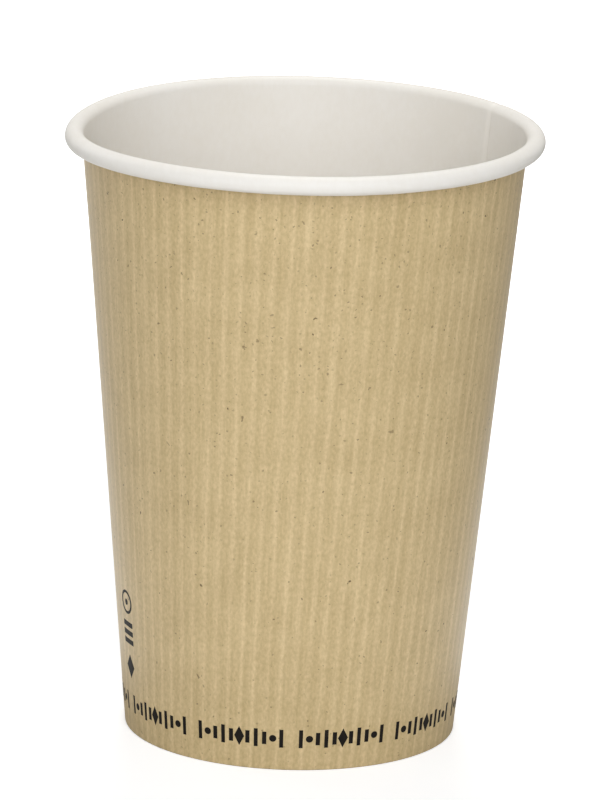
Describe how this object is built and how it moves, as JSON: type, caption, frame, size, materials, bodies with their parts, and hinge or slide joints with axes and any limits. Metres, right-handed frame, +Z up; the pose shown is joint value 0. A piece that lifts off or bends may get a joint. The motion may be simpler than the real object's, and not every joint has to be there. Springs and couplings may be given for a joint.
{
  "type": "paper soup cup",
  "caption": "Open tapered paper soup cup with a rolled rim, a lapped side seam and a recessed base held in a folded edge.",
  "frame": {"origin": "centre of the bottom fold, on the surface that the cup stands on", "axes": "+Z up along the cup's axis; the side seam lies 33 degrees from +X towards +Y"},
  "size_m": [0.115, 0.115, 0.149],
  "materials": {
    "printed_board": "satin",
    "white_board": "satin"
  },
  "bodies": {
    "root": {"side_wall": "printed_board", "base_disc": "white_board"}
  },
  "joints": []
}
